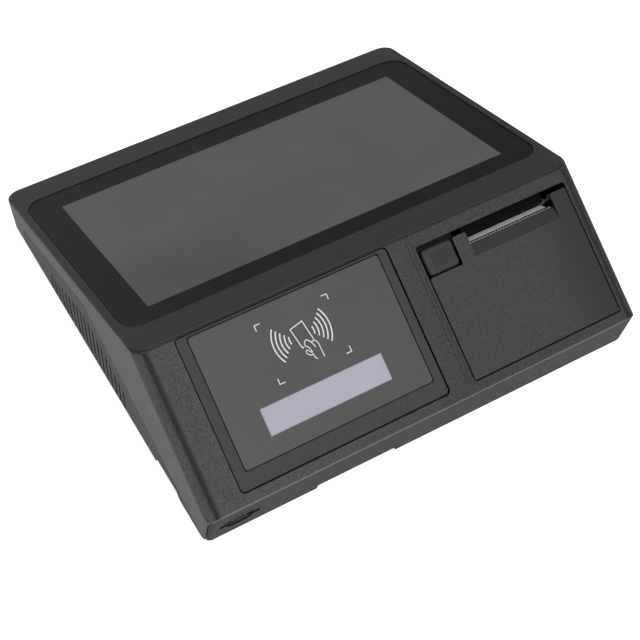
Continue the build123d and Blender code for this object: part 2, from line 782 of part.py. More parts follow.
def platen_gear():
    """Gear on the platen's end; a tooth points at the drive gear."""
    wheel = gear_at(platen_w, platen_depth, platen_teeth, mesh_angle)
    return wheel - deck_rod(platen_w, platen_depth, shaft_radius, grown(gear_faces, 1))


def drive_gear():
    """Gear and shaft of the motor; a tooth gap points back at the platen."""
    wheel = gear_at(drive_w, drive_depth, drive_teeth, mesh_angle + 180 + 180 / drive_teeth)
    return wheel + deck_rod(drive_w, drive_depth, shaft_radius, (plate_x[0] + 0.1, gear_faces[1]))


def platen_roller():
    """Rubber roller on its steel shaft."""
    roller = deck_rod(platen_w, platen_depth, platen_radius, paper_x)
    return roller + deck_rod(platen_w, platen_depth, shaft_radius, (cheeks[0][0] - 2.0, gear_faces[1] + 0.5))


head_face_w = platen_w - platen_radius - head_gap


def thermal_head():
    """Print head: carrier with the flat ceramic strip that faces the platen."""
    x_span = grown(paper_x, 1.5)
    carrier = deck_slab(x_span, (bay_top + 0.2, head_face_w - 0.8), platen_depth - 5.0, platen_depth + 5.0)
    return carrier + deck_slab(x_span, (head_face_w - 0.8, head_face_w), platen_depth - 4.5, platen_depth + 4.5)


scoop_x = (left_arm[1], right_arm_left)
scoop_rows = (tear_edge, tear_edge + scoop_length)
scoop_skin = scoop_depth + 0.8


def lid_outline():
    """Plan of the lid in deck coordinates: two arms beside the paper slot and a step round the button."""
    step_w = button_bottom + lid_gap
    points = [
        (lid_left, -lid_bottom), (lid_left, -step_w), (left_arm[0], -step_w), (left_arm[0], -arm_top),
        (left_arm[1], -arm_top), (left_arm[1], -tear_edge), (right_arm_left, -tear_edge), (right_arm_left, -arm_top),
        (lid_right, -arm_top), (lid_right, -lid_bottom)
    ]
    face = make_face(Polyline(*points, close=True))
    return fillet([v for v in face.vertices() if v.Y > -lid_bottom + 1], 1.5)


def printer_lid():
    """Bay lid with its finger scoop, platen cheeks and full-width hinge barrel."""
    lid = DECK * Pos(0, 0, -lid_thickness) * extrude(lid_outline(), lid_thickness)
    lid = lid + deck_rod(hinge_w, hinge_depth, hinge_depth, (lid_left, lid_right))
    pad_end = scoop_rows[1] + 4
    pad = deck_polygon(
        [(tear_edge, 0.5), (tear_edge, scoop_skin), (pad_end, lid_thickness), (pad_end, 0.5)], scoop_x
    )
    wedge = deck_polygon(
        [(tear_edge - 1, -1), (tear_edge - 1, scoop_depth), (tear_edge, scoop_depth), (scoop_rows[1], 0),
         (scoop_rows[1], -1)], scoop_x
    )
    lid = lid + pad - wedge
    low = platen_depth + 4.0
    for x_span in cheeks:
        cheek = deck_polygon(
            [(platen_w - 5.8, lid_thickness - 0.5), (platen_w + 15.7, lid_thickness - 0.5), (platen_w + 4.7, low - 2.0),
             (platen_w + 2.2, low), (platen_w - 2.2, low), (platen_w - 4.3, low - 2.0)], x_span
        )
        lid = lid + cheek
    rib_rows = (bucket_w - 15.0, hinge_w - 12.0)
    for x in (paper_x[0] + 19.0, paper_x[1] - 19.0):
        lid = lid + deck_slab(centred(x, 1.5), rib_rows, lid_thickness - 0.5, lid_thickness + 1.0)
    bores = deck_rod(platen_w, platen_depth, shaft_radius + running_clearance, grown((cheeks[0][0], cheeks[1][1]), 1))
    return lid - bores - deck_rod(hinge_w, hinge_depth, pin_radius + running_clearance, bay_span)


def hinge_pin():
    """Steel pin through the lid's barrel into the bay's sides."""
    return deck_rod(hinge_w, hinge_depth, pin_radius, grown(bay_span, pin_bite))


def tear_bar():
    """Serrated steel strip under the lid's edge."""
    x0 = scoop_x[0] + 1.0
    x1 = scoop_x[1] - 1.0
    thickness = 0.6
    bar = deck_slab((x0, x1), (tear_edge - 0.2, tear_edge + 5), scoop_skin, scoop_skin + thickness)
    teeth = 30
    step = (x1 - x0) / teeth
    points = [(x0, -tear_edge)]
    for number in range(teeth):
        left = x0 + number * step
        points += [(left + step / 2, -tear_edge + 1.3), (left + step, -tear_edge)]
    comb = extrude(make_face(Polyline(*points, close=True)), thickness)
    return bar + DECK * Pos(0, 0, -scoop_skin - thickness) * comb


def release_button():
    """Ribbed push button that frees the lid, on a square stem through the tray."""
    body = deck_slab(button_x, button_rows, 0, button_depth, button_corner)
    body = fillet(top_face(body, DECK_UP).edges(), button_edge)
    ribs_x = (button_x[0] + 5.9, button_x[1] - 2.2)
    pitch = (ribs_x[1] - ribs_x[0]) / (button_ribs - 1)
    for number in range(button_ribs):
        x = ribs_x[0] + number * pitch
        body = body + deck_slab(centred(x, rib_width), grown(button_rows, -4.0), -rib_width / 2, rib_width / 2)
    return body + deck_slab(stem_x, stem_rows, button_depth, tray_bottom + 1.5)


roll_radius = bucket_radius - roll_slack
roll_y, bucket_z = deck_point(bucket_w, bucket_depth)
roll_z = bucket_z - roll_slack + roll_seat


def paper_roll():
    """Wound receipt paper."""
    return rod(roll_y, roll_z, roll_radius, paper_x) - rod(roll_y, roll_z, core_radius, grown(paper_x, 1))


def paper_core():
    """Plastic core inside the roll."""
    return rod(roll_y, roll_z, core_radius, paper_x) - rod(roll_y, roll_z, bore_radius, grown(paper_x, 1))


def paper_tongue():
    """Free end of the paper, from the platen up to the tear bar."""
    thickness = 0.15
    near = platen_w - platen_radius - 0.35
    top = tear_edge - 1.6
    points = [(near, platen_depth - 0.5), (near + 0.5, platen_depth - 3.0), (top, scoop_skin + 0.6),
              (top - thickness, scoop_skin + 0.6), (near + 0.5 - thickness, platen_depth - 3.0),
              (near - thickness, platen_depth - 0.5)]
    return deck_polygon(points, paper_x)


# ---------------------------------------------------------------- write every piece
pieces = {
    "upper_housing": upper_housing(), "lower_housing": lower_housing(), "cover_glass": cover_glass(),
    "display_module": display_module(), "display_bracket": display_bracket(), "main_board": main_board(),
    "heat_sink": heat_sink(), "customer_panel_frame": customer_panel_frame(), "customer_lens": customer_lens(),
    "customer_lcd": customer_lcd(), "nfc_antenna_board": nfc_antenna_board(), "printer_cradle": printer_cradle(),
    "thermal_head": thermal_head(), "motor_bracket": motor_bracket(), "feed_motor": feed_motor(),
    "drive_gear": drive_gear(), "platen_roller": platen_roller(), "platen_gear": platen_gear(),
    "printer_lid": printer_lid(), "tear_bar": tear_bar(), "hinge_pin": hinge_pin(),
    "release_button": release_button(), "paper_roll": paper_roll(), "paper_core": paper_core(),
    "paper_tongue": paper_tongue(), "port_board": port_board(), "io_board": io_board(),
    "network_jack": network_jack(), "usb_ports": usb_ports(), "dc_inlet": dc_inlet(), "speaker": speaker(),
    "rubber_feet": rubber_feet(), "housing_screws": housing_screws(),
}
for name, piece in pieces.items():
    export_step(piece, "parts/" + name + ".step")
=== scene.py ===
# A countertop self checkout kiosk: a wedge-shaped housing with a touch display on its rear slope, and a tap
# panel and a receipt printer on its front slope.  Sizes are metres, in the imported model's own frame.
from math import cos, radians, sin

import bpy
import numpy as np
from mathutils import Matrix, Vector


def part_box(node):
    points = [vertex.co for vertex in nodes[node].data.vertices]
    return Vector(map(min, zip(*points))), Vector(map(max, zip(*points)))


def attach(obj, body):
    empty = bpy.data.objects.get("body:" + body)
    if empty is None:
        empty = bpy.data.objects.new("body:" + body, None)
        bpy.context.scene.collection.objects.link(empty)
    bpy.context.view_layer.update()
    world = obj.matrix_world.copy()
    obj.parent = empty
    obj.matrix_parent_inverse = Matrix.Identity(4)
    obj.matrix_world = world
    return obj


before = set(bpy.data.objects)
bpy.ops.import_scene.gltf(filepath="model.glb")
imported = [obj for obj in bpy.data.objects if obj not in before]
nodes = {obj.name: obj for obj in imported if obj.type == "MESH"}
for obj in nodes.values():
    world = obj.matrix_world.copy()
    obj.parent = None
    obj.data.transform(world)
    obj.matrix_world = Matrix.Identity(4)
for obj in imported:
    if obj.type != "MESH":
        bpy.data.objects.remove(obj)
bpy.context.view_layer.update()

# ---------------------------------------------------------------- camera
# A view through a long lens, down on the customer's side from the left, with the picture's centre a little
# off the lens's axis.
camera_data = bpy.data.cameras.new("camera")
camera_data.lens = 85.4
camera_data.sensor_width = 36.0
camera_data.shift_x = 0.03125
camera_data.shift_y = -0.0625
camera = bpy.data.objects.new("camera", camera_data)
camera.location = (-0.33196, -0.54066, 0.8054)
camera.rotation_euler = (0.66506, -0.01571, -0.52139)
bpy.context.scene.collection.objects.link(camera)
bpy.context.scene.camera = camera


# ---------------------------------------------------------------- studio
# A white table in a pale room that darkens towards the horizon, with one large softbox in front on the right
# and a small one behind: the slopes mirror the softboxes, the upright faces mirror the table, and the
# roundings the dark.
class Shade:
    """One socket of a node tree.  Arithmetic on it adds Math nodes."""

    def __init__(self, tree, socket):
        self.tree = tree
        self.socket = socket

    def node(self, kind, inputs=(), settings=(), output=0):
        """Adds a node: its settings are set first, then its sockets get values or links."""
        made = self.tree.nodes.new(kind)
        for name, value in dict(settings).items():
            setattr(made, name, value)
        for name, value in dict(inputs).items():
            if isinstance(value, Shade):
                self.tree.links.new(value.socket, made.inputs[name])
            else:
                made.inputs[name].default_value = value
        return Shade(self.tree, made.outputs[output])

    def math(self, operation, *others):
        """A Math node whose first value is this one."""
        return self.node("ShaderNodeMath", enumerate((self, *others)), {"operation": operation})

    def __add__(self, other):
        return self.math("ADD", other)

    def __sub__(self, other):
        return self.math("SUBTRACT", other)

    def __rsub__(self, other):
        return self.node("ShaderNodeMath", {0: other, 1: self}, {"operation": "SUBTRACT"})

    def __mul__(self, other):
        return self.math("MULTIPLY", other)

    __radd__ = __add__
    __rmul__ = __mul__

    def step(self, start, end):
        """Smooth step from 0 at start to 1 at end."""
        return self.node(
            "ShaderNodeMapRange", {"Value": self, "From Min": start, "From Max": end},
            {"interpolation_type": "SMOOTHSTEP", "clamp": True}
        )

    def within(self, low, high, edge=0.0001):
        """1 between two values and 0 outside them, with a soft edge."""
        return self.step(low - edge, low + edge) * (1 - self.step(high - edge, high + edge))

    def mix(self, low, high):
        """Colour low where this value is 0 and high where it is 1."""
        return self.node("ShaderNodeMix", {0: self, 6: low, 7: high}, {"data_type": "RGBA"}, 2)

    def along(self, direction, origin=(0, 0, 0)):
        """Distance of this place from an origin along a direction."""
        offset = self.node("ShaderNodeVectorMath", {0: self, 1: origin}, {"operation": "SUBTRACT"})
        return offset.node("ShaderNodeVectorMath", {0: offset, 1: direction}, {"operation": "DOT_PRODUCT"}, 1)

    def noise(self, scale, detail=2.0, roughness=0.5):
        """Noise of a stated scale per metre at this place."""
        return self.node(
            "ShaderNodeTexNoise", {"Vector": self, "Scale": scale, "Detail": detail, "Roughness": roughness}
        )

    def bump(self, distance, strength=1.0):
        """Normal of a surface raised by this value times a distance."""
        return self.node("ShaderNodeBump", {"Height": self, "Distance": distance, "Strength": strength})


def grey(value, warmth=0.0):
    """An opaque grey, a little warmer or cooler."""
    return (value * (1 + warmth), value, value * (1 - warmth), 1.0)


def new_finish(name, **constants):
    """A material with its shader's constants set, its shader, and the place on the object."""
    material = bpy.data.materials.new(name)
    material.use_nodes = True
    shader = material.node_tree.nodes["Principled BSDF"]
    for socket, value in constants.items():
        shader.inputs[socket.replace("_", " ")].default_value = value
    place = Shade(material.node_tree, None).node("ShaderNodeTexCoord", output=3)
    return material, shader, place


def feed(shader, **values):
    """Links values to the shader's sockets."""
    for socket, value in values.items():
        value.tree.links.new(value.socket, shader.inputs[socket.replace("_", " ")])


def dress(material, *node_names):
    """Gives CAD nodes one material."""
    for name in node_names:
        data = nodes[name].data
        data.materials.clear()
        data.materials.append(material)


def add_surface(name, points, faces, material):
    """A mesh object of points and faces in one material, linked to the scene."""
    data = bpy.data.meshes.new(name)
    data.from_pydata(points, [], faces)
    data.materials.append(material)
    piece = bpy.data.objects.new(name, data)
    bpy.context.scene.collection.objects.link(piece)
    return piece


to_right, to_back, to_top = (1, 0, 0), (0, 1, 0), (0, 0, 1)
table_half = 6.0
table_corners = [(x * table_half, y * table_half, 0) for x, y in ((-1, -1), (1, -1), (1, 1), (-1, 1))]
table_finish, table_shader, table_place = new_finish(
    "white_table", Base_Color=grey(0.8), Emission_Color=(0.97, 0.972, 1.0, 1.0), Emission_Strength=0.79
)
feed(table_shader, Roughness=table_place.noise(3.0) * 0.1 + 0.75)
table = add_surface("table_top", table_corners, [(0, 1, 2, 3)], table_finish)


def softbox(name, place, size, power):
    """A square area light aimed at the object."""
    data = bpy.data.lights.new(name, "AREA")
    data.shape = "SQUARE"
    data.size = size
    data.energy = power
    data.color = (1.0, 0.975, 0.98)
    lamp = bpy.data.objects.new(name, data)
    lamp.location = place
    lamp.rotation_mode = "QUATERNION"
    lamp.rotation_quaternion = (-Vector(place)).to_track_quat("-Z", "Y")
    bpy.context.scene.collection.objects.link(lamp)


softbox("front_softbox", (0.12, -1.2, 1.6), size=1.6, power=20)
softbox("back_softbox", (-0.2, 2.2, 1.3), size=1.2, power=5)
room = bpy.data.worlds.new("room")
room.use_nodes = True
backdrop = room.node_tree.nodes["Background"]
height_seen = Shade(room.node_tree, None).node("ShaderNodeTexCoord").along(to_top)
room_colour = height_seen.step(0.05, 0.8).mix(grey(0.12), grey(0.42))
room.node_tree.links.new(room_colour.socket, backdrop.inputs["Color"])
bpy.context.scene.world = room
bpy.context.scene.view_settings.view_transform = "Standard"

# ---------------------------------------------------------------- housing halves
# Injection-moulded black ABS, screwed together from below.  The tool is spark-eroded: coarse pits on the deck
# and the sides, and a finer, darker texture on the raised display surround.
ridge = (0.0, -0.062045, 0.0925)
head_slope, deck_slope, front_lean = radians(18.9), radians(33.2), radians(10.5)
head_up = (0, sin(head_slope), cos(head_slope))
head_back = (0, cos(head_slope), -sin(head_slope))
deck_down = (0, sin(deck_slope), -cos(deck_slope))
deck_forward = (0, -cos(deck_slope), -sin(deck_slope))
front_top = (0.0, -0.150825, 0.0344)
front_out = (0, -cos(front_lean), -sin(front_lean))
front_down = (0, sin(front_lean), -cos(front_lean))
# Near-black painted shade for the walls of the gaps and seams, which lie in shadow.
painted_gap_shade = grey(0.002)
gaps_x, gaps_rows, gaps_depth = (-0.1455, 0.1460), (0.0014, 0.1035), (0.0003, 0.02)
lit_gap_x = (-0.1232, -0.1212)              # the gap on the tap panel's left faces the light and isn't black
seam_x, seam_fall, seam_depth = (-0.1537, 0.1537), (0.0025, 0.05), (-0.004, -0.0003)


def spark_texture(place, pit):
    """Height of an eroded surface: pits of one size with finer ones in them, from 0 to 1."""
    return place.noise(1 / pit, 3.0, 0.6) * 0.7 + place.noise(2.7 / pit, 2.0) * 0.3


def clouding(place):
    """Slow change of tone and gloss over a moulding, from 0 to 1."""
    return place.noise(38.0, 3.0)


def mottle(pits, cloud, share):
    """Tone from 0 to 1 that follows the pits for one share and the clouding for the rest."""
    return pits.step(0.35, 0.65) * share + cloud * (1 - share)


def painted_gap_shade_mask(place):
    """1 on the walls of the deck's gaps and of the seam round the front panel, where near-black painted shade
    goes, and 0 on the outside.
    """
    x = place.along(to_right)
    deck = x.within(*gaps_x, 0.0002) * (1 - x.within(*lit_gap_x))
    deck = deck * place.along(deck_forward, ridge).within(*gaps_rows)
    deck = deck * place.along(deck_down, ridge).within(*gaps_depth)
    front = place.along(front_down, front_top).within(*seam_fall)
    front = front * place.along(front_out, front_top).within(*seam_depth)
    return deck.math("MAXIMUM", front * x.within(*seam_x))


def housing_black():
    """The upper half's plastic: the head, within about a millimetre of its plane, has the finer texture.

    The deck is painted lighter on its left, as painted light, and painted dark in a narrow band along each
    side edge, as painted shade on the roundings that mirror the dark room."""
    material, shader, place = new_finish("housing_black", IOR=1.46)
    x = place.along(to_right)
    on_head = place.along(head_up, ridge).step(-0.0022, -0.0012)
    contour = place.along(head_back, ridge).within(0.0148, 0.0158, 0.0003)
    coarse = spark_texture(place, 0.0010)
    fine = spark_texture(place, 0.0005)
    cloud = clouding(place)
    tone = mottle(coarse, cloud, 0.8)
    # Painted light: the deck is painted lighter on its left.
    lit = (1 - x.step(-0.10, 0.05)) * x.step(-0.1542, -0.1525)
    plain = tone.mix(grey(0.014, 0.01), grey(0.070, 0.01))
    pitted = lit.mix(plain, tone.mix(grey(0.028, 0.01), grey(0.106, 0.01)))
    # Painted shade: dark bands along both side edges of the deck, where the roundings mirror the dark room.
    painted_shade_left_edge = x.step(-0.1508, -0.1487) * (1 - x.step(-0.1478, -0.1448))
    painted_shade_right_edge = x.within(0.1461, 0.1530, 0.0005)
    pitted = (painted_shade_left_edge + painted_shade_right_edge).mix(pitted, tone.mix(grey(0.003), grey(0.013)))
    smooth = mottle(fine, cloud, 0.7).mix(grey(0.014, 0.02), grey(0.028, 0.02))
    height = coarse * (1 - on_head) * 0.0005 + fine * on_head * 0.00012 + contour * on_head * 0.00006
    feed(
        shader, Base_Color=painted_gap_shade_mask(place).mix(on_head.mix(pitted, smooth), painted_gap_shade),
        Roughness=cloud * 0.08 + coarse * 0.1 + on_head * -0.06 + 0.5, Normal=height.bump(1.0)
    )
    return material


dress(housing_black(), "upper_housing")


def pan_black():
    """The lower half's plastic: pitted all over, and painted lighter on the side wings than on the pan:
    painted light on the side walls and painted shade on the rest.
    """
    material, shader, place = new_finish("pan_black", IOR=1.32)
    # Painted light and shade: the side walls are painted lighter than the front and underside.
    painted_light_wing = 1 - place.along(to_right).within(-0.1522, 0.1522, 0.0002)
    grain = spark_texture(place, 0.0011)
    cloud = clouding(place)
    tone = mottle(grain, cloud, 0.75)
    colour = painted_light_wing.mix(tone.mix(grey(0.004), grey(0.010)), tone.mix(grey(0.012), grey(0.040)))
    feed(
        shader, Base_Color=painted_gap_shade_mask(place).mix(colour, painted_gap_shade),
        Roughness=cloud * 0.08 + grain * 0.1 + 0.51, Normal=grain.bump(0.0004)
    )
    return material


dress(pan_black(), "lower_housing")

# ---------------------------------------------------------------- vent gauze
# A strip of black woven gauze, glued inside each side wall below the floor, closes the lower ends of the vent
# slots against dust.
gauze_x, gauze_y, gauze_z = 0.15186, (-0.0410, 0.0770), (0.0034, 0.0054)
gauze_thickness = 0.00012
gauze_weave, gauze_crimp = 0.002, 0.00006
gauze_grid = (355, 9)               # points along the strip and up it: six and eight to a wave of the weave


def moulded_black(name, base, roughness, pit, depth):
    """Spark-textured black plastic with a faint clouding of tone and gloss."""
    material, shader, place = new_finish(name, IOR=1.46)
    grain = spark_texture(place, pit)
    cloud = clouding(place)
    feed(
        shader, Base_Color=mottle(grain, cloud, 0.75).mix(grey(base * 0.6), grey(base * 1.4)),
        Roughness=cloud * 0.08 + grain * 0.1 + (roughness - 0.09), Normal=grain.bump(depth)
    )
    return material


def grid_faces(rows, columns, first=0):
    """Quads of a grid of points, row after row."""
    i, j = np.meshgrid(np.arange(rows - 1), np.arange(columns - 1), indexing="ij")
    corner = first + i * columns + j
    return np.stack([corner, corner + columns, corner + columns + 1, corner + 1], -1).reshape(-1, 4)


def thicken(piece, name, thickness, offset):
    """Gives a surface a thickness: half to each side at offset 0, all outward at offset 1."""
    solid = piece.modifiers.new(name, "SOLIDIFY")
    solid.thickness = thickness
    solid.offset = offset


def gauze_strip(name, x):
    """Woven strip beside a side wall: x plus a small crimp, the product of two sines of length and height."""
    y, z = np.meshgrid(
        np.linspace(*gauze_y, gauze_grid[0]), np.linspace(*gauze_z, gauze_grid[1]), indexing="ij"
    )
    waves = 2 * np.pi / gauze_weave
    crimp = gauze_crimp * np.sin(waves * y) * np.sin(waves * (z - gauze_z[0]))
    points = np.stack([x + crimp, y, z], -1).reshape(-1, 3)
    quads = grid_faces(*y.shape)
    outward = quads if x > 0 else quads[:, ::-1]
    strip = add_surface(name, points.tolist(), outward.tolist(), gauze_black)
    thicken(strip, "cloth", gauze_thickness, 0.0)
    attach(strip, "housing")


gauze_black = moulded_black("gauze_black", base=0.008, roughness=0.8, pit=0.0004, depth=0.00005)
gauze_strip("vent_gauze_left", -gauze_x)
gauze_strip("vent_gauze_right", gauze_x)

# ---------------------------------------------------------------- cover glass
# Chemically toughened glass with a satin anti-glare etch, printed black on its back round the display.  The
# dark display is bonded behind it and shows a little lighter than the print.
display_x, display_rows, display_edge = (-0.128, 0.128), (0.0383, 0.1823), 0.00015
glass_finish, glass_shader, glass_place = new_finish("cover_glass_satin", IOR=1.33)
glass_x = glass_place.along(to_right)
glass_row = glass_place.along(head_back, ridge)
display_zone = glass_x.within(*display_x, display_edge) * glass_row.within(*display_rows, display_edge)
etch = glass_place.noise(2600.0, 2.0)
haze = glass_place.noise(22.0, 4.0, 0.6)
# Painted shade: the display area is painted darker towards its front left, where its reflection is darker.
painted_shade_front_left = (1 - glass_row.step(0.03, 0.12)) * (1 - glass_x.step(-0.14, 0.02))
display_tone = haze * 0.8 + etch * 0.2 - painted_shade_front_left * 0.9
feed(
    glass_shader,
    Base_Color=display_zone.mix(
        haze.mix(grey(0.003, 0.05), grey(0.007, 0.05)), display_tone.mix(grey(0.110), grey(0.158))
    ),
    Roughness=etch * 0.08 + haze * 0.06 + 0.25, Normal=etch.bump(0.000004)
)
dress(glass_finish, "cover_glass")


# ---------------------------------------------------------------- display, its tray and the main board
# The flat display has a plated steel back.  A zinc-plated sheet tray holds it and carries the green main
# board, whose processor has an extruded aluminium heat sink.
def plated_sheet(name, tone, spangle, roughness):
    """Zinc-plated sheet: irregular crystals that differ slightly in tone and gloss."""
    material, shader, place = new_finish(name, Metallic=1.0)
    crystal = place.node("ShaderNodeTexVoronoi", {"Vector": place, "Scale": 1 / spangle}, output=1)
    shine = crystal.node("ShaderNodeSeparateColor", {"Color": crystal})
    smear = place.noise(90.0, 3.0)
    feed(
        shader, Base_Color=(shine * 0.6 + smear * 0.4).mix(grey(tone * 0.82), grey(tone * 1.08, -0.01)),
        Roughness=shine * 0.1 + smear * 0.12 + (roughness - 0.1), Normal=smear.bump(0.00002)
    )
    return material


def circuit_board(name, mask, trace, lengthwise, origin=(0, 0, 0)):
    """Solder-masked board: copper tracks under the mask, bright vias and a weave in the laminate."""
    material, shader, place = new_finish(name, IOR=1.5)
    sheet = place.node(
        "ShaderNodeCombineXYZ", {"X": place.along(to_right, origin), "Y": place.along(lengthwise, origin)}
    )
    tracks = sheet.node(
        "ShaderNodeTexBrick",
        {"Vector": sheet, "Scale": 1.0, "Brick Width": 0.0065, "Row Height": 0.0016, "Mortar Size": 0.00022,
         "Mortar Smooth": 0.2},
        output=1
    )
    vias = 1 - sheet.node("ShaderNodeTexVoronoi", {"Vector": sheet, "Scale": 260.0}).step(0.1, 0.16)
    weave = sheet.noise(1500.0, 1.0)
    masked = (tracks * 0.8 + weave * 0.2).mix(mask, trace)
    feed(
        shader, Base_Color=vias.mix(masked, (0.75, 0.6, 0.3, 1.0)), Metallic=vias * 0.9,
        Roughness=weave * 0.08 + 0.3, Normal=(tracks * 0.6 + vias * 0.4 + weave * 0.05).bump(0.00004)
    )
    return material


def drawn_lines(place, density, detail=2.0):
    """Fine lines left by a die or by drawing: noise with its own density per metre along X, Y and Z."""
    return place.node("ShaderNodeMapping", {"Vector": place, "Scale": density}).noise(1.0, detail)


zinc = plated_sheet("zinc_plate", tone=0.6, spangle=0.004, roughness=0.42)
dress(zinc, "display_bracket", "motor_bracket")
dress(plated_sheet("display_back", tone=0.4, spangle=0.009, roughness=0.5), "display_module")
green_mask, green_trace = (0.008, 0.07, 0.025, 1.0), (0.02, 0.15, 0.05, 1.0)
dress(circuit_board("main_board_green", green_mask, green_trace, head_back, ridge), "main_board")
fin_finish, fin_shader, fin_place = new_finish("extruded_aluminium", Metallic=1.0)
die_lines = drawn_lines(fin_place, (900.0, 12.0, 900.0))
feed(
    fin_shader, Base_Color=die_lines.mix(grey(0.42), grey(0.6)), Roughness=die_lines * 0.2 + 0.28,
    Normal=die_lines.bump(0.00002)
)
dress(fin_finish, "heat_sink")

# ---------------------------------------------------------------- customer panel
# A finely textured black plate let into the deck.  Its clear lens is hard-coated, satin, and printed
# grey-black on the back except over the pale segment display, which sits on its own small board.
def panel_black():
    """The plate's plastic, painted black as painted shade on a hair's breadth round the lens, where its
    opening has a sharp lip, and in its gaps.
    """
    material, shader, place = new_finish("panel_black", IOR=1.46)
    low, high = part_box("customer_lens")
    start, end = ((ridge[1] - y) / -deck_forward[1] for y in (high[1], low[1]))
    # Painted shade: a black ring a hair's breadth wide round the lens opening, widening the gap's dark line.
    painted_lens_ring_shade = place.along(to_right).within(low[0] - 0.0008, high[0] + 0.0005)
    painted_lens_ring_shade = painted_lens_ring_shade * place.along(deck_forward, ridge).within(start - 0.0005, end + 0.0003)
    grain = spark_texture(place, 0.0012)
    cloud = clouding(place)
    tone = mottle(grain, cloud, 0.75).mix(grey(0.022, 0.01), grey(0.050, 0.01))
    feed(
        shader, Base_Color=painted_lens_ring_shade.math("MAXIMUM", painted_gap_shade_mask(place)).mix(tone, grey(0.001)),
        Roughness=cloud * 0.08 + grain * 0.1 + 0.47, Normal=grain.bump(0.0003)
    )
    return material


dress(panel_black(), "customer_panel_frame")
lcd_x, lcd_rows, lcd_rim = (-0.0992, -0.0160), (0.0592, 0.0764), 0.0006
lens_finish, lens_shader, lens_place = new_finish("lens_back_print", IOR=1.49)
lens_x = lens_place.along(to_right)
lens_row = lens_place.along(deck_forward, ridge)
lcd_zone = lens_x.within(*lcd_x) * lens_row.within(*lcd_rows)
lcd_core = lens_x.within(lcd_x[0] + lcd_rim, lcd_x[1] - lcd_rim, lcd_rim)
lcd_core = lcd_core * lens_row.within(lcd_rows[0] + lcd_rim, lcd_rows[1] - lcd_rim, lcd_rim)
print_grain = lens_place.noise(1900.0, 3.0, 0.6)
lens_cloud = lens_place.noise(26.0, 3.0)
lcd_tone = lens_place.noise(60.0, 2.0) * 0.3 + lcd_core * 0.7
feed(
    lens_shader,
    Base_Color=lcd_zone.mix(
        (print_grain * 0.45 + lens_cloud * 0.55).mix(grey(0.026, 0.025), grey(0.082, 0.025)),
        lcd_tone.mix((0.365, 0.372, 0.44, 1.0), (0.452, 0.462, 0.55, 1.0))
    ),
    Roughness=print_grain * 0.1 + lens_cloud * 0.06 + 0.38, Normal=print_grain.bump(0.00001)
)
dress(lens_finish, "customer_lens")
lcd_finish, lcd_shader, lcd_place = new_finish("segment_display", IOR=1.5)
lcd_depth = lcd_place.along(deck_down, ridge).step(0.0028, 0.0032)
lcd_fibre = lcd_place.noise(900.0, 2.0)
feed(
    lcd_shader,
    Base_Color=lcd_depth.mix(
        lcd_fibre.mix((0.42, 0.43, 0.5, 1.0), (0.5, 0.51, 0.58, 1.0)), lcd_fibre.mix(green_mask, green_trace)
    ),
    Roughness=lcd_fibre * 0.1 + 0.3
)
dress(lcd_finish, "customer_lcd")
blue_mask, blue_trace = (0.006, 0.05, 0.11, 1.0), (0.02, 0.12, 0.22, 1.0)
dress(circuit_board("antenna_blue", blue_mask, blue_trace, deck_forward, ridge), "nfc_antenna_board")

# ---------------------------------------------------------------- tap mark
# Pale grey screen print on the lens that shows where a card is held: four corner brackets, a card in a hand,
# and five waves on each side.
ink_lift = 0.00005                  # lower face of the ink above the lens
ink_thickness = 0.00004
ink_finish, ink_shader, ink_place = new_finish("mark_ink", IOR=1.45)
ink_grain = ink_place.noise(2400.0, 2.0)
feed(
    ink_shader, Base_Color=ink_grain.mix(grey(0.74, 0.01), grey(0.90, 0.01)), Roughness=ink_grain * 0.1 + 0.5,
    Normal=ink_grain.bump(0.00001)
)


def ribbon(path, width):
    """A flat stroke: each point of the path moved to both sides along the bisector of its two runs.

    The move is half the width over the cosine of half the turn, so corners keep the stroke's width."""
    path = np.asarray(path, float)
    runs = np.diff(path, axis=0)
    runs /= np.linalg.norm(runs, axis=1, keepdims=True)
    before = np.vstack([runs[:1], runs])
    after = np.vstack([runs, runs[-1:]])
    side = np.stack([-(before + after)[:, 1], (before + after)[:, 0]], 1)
    side /= np.linalg.norm(side, axis=1, keepdims=True)
    square = np.stack([-before[:, 1], before[:, 0]], 1)
    reach = width / 2 / np.clip((side * square).sum(1, keepdims=True), 0.5, 1.0)
    return np.stack([path - side * reach, path + side * reach], 1)


def smoothed(points, steps=6):
    """Catmull-Rom curve: between two points, the cubic whose slopes are half the step of their neighbours."""
    points = np.asarray(points, float)
    padded = np.vstack([2 * points[0] - points[1], points, 2 * points[-1] - points[-2]])
    a, b, c, d = (padded[i:len(padded) - 3 + i, None] for i in range(4))
    t = np.linspace(0, 1, steps, endpoint=False)[None, :, None]
    curve = b + (c - a) * t / 2 + (a - 2.5 * b + 2 * c - d / 2) * t**2 + (1.5 * (b - c) + (d - a) / 2) * t**3
    return np.vstack([curve.reshape(-1, 2), points[-1:]])


def arc(centre, radius, rise):
    """Circular arc whose ends lie a rise above and below its centre; a negative radius faces left."""
    half = np.arcsin(rise / abs(radius))
    angles = np.linspace(-half, half, 25)
    return np.stack([centre[0] + radius * np.cos(angles), centre[1] + abs(radius) * np.sin(angles)], 1)


